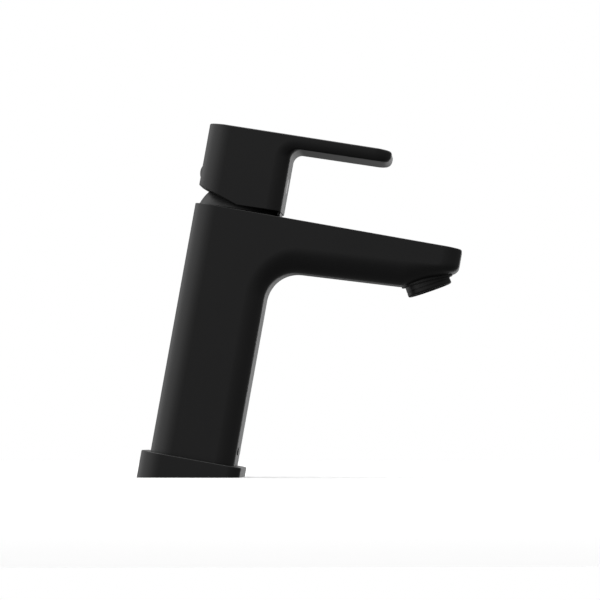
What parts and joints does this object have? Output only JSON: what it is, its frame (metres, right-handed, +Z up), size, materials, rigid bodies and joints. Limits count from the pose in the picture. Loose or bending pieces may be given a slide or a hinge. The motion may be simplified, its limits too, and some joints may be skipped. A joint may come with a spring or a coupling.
{
  "type": "bathroom mixer faucet",
  "caption": "Single-lever basin mixer in matt black: forward-leaning square column, flat spout with tilting aerator, flat lever and wedge base.",
  "frame": {"origin": "middle of the foot block's flat lower face, at deck level under the middle of the base", "axes": "+Z up, +X towards the outlet, +Y across; the column's axis leans 10.2 degrees from +Z towards +X"},
  "size_m": [0.1709, 0.0538, 0.1865],
  "materials": {
    "black_body": "matt black lacquer on brass",
    "black_badge": "matt black lacquer",
    "black_lever": "matt black lacquer on zinc",
    "black_plug": "matt black plastic",
    "black_plastic": "matt black plastic",
    "brass_foot": "machined brass",
    "rubber_seal": "black rubber",
    "ceramic": "lapped alumina ceramic",
    "white_plastic": "natural acetal",
    "grey_plastic": "grey acetal",
    "steel": "stainless steel",
    "hot_red": "dark red enamel",
    "cold_blue": "dark blue enamel"
  },
  "bodies": {
    "tap_body": {"body_casting": "black_body", "front_badge": "black_badge", "base_wedge": "black_body", "wedge_seal": "rubber_seal", "foot_block": "brass_foot", "foot_o_ring": "rubber_seal", "deck_gasket": "rubber_seal", "cartridge_base": "white_plastic", "inlet_seal_hot": "rubber_seal", "inlet_seal_cold": "rubber_seal", "fixed_disc": "ceramic", "cartridge_housing": "white_plastic", "cartridge_o_ring": "rubber_seal", "cartridge_nut": "brass_foot", "dome_cap": "black_body", "spout_collar": "black_body"},
    "turret": {"spindle_guide": "grey_plastic", "pivot_pin": "steel"},
    "disc_slide": {"disc_carrier": "white_plastic", "moving_disc": "ceramic"},
    "lever": {"handle": "black_lever", "spindle": "brass_foot", "grub_screw": "steel", "screw_plug": "black_plug", "hot_mark": "hot_red", "cold_mark": "cold_blue"},
    "aerator": {"aerator_housing": "black_plastic", "aerator_honeycomb": "grey_plastic", "aerator_screen": "steel", "aerator_washer": "rubber_seal"}
  },
  "joints": [
    {"name": "temperature", "type": "hinge", "parent": "tap_body", "child": "turret", "pos_m": [0.02419, 0, 0.13444], "axis": [0.1771, 0, 0.9842], "range_deg": [-45, 45]},
    {"name": "flow", "type": "hinge", "parent": "turret", "child": "lever", "pos_m": [0.02419, 0, 0.13444], "axis": [0, -1, 0], "range_deg": [0, 20]},
    {"name": "disc_travel", "type": "slide", "parent": "turret", "child": "disc_slide", "axis": [0.9842, 0, -0.1771], "range_m": [0, 0.0036]},
    {"name": "aerator_tilt", "type": "hinge", "parent": "tap_body", "child": "aerator", "pos_m": [0.12539, 0, 0.10301], "axis": [0, 1, 0], "range_deg": [-1, 11]}
  ],
  "couplings": [
    {"joint": "disc_travel", "follows": "flow", "m_per_rad": 0.0096}
  ]
}
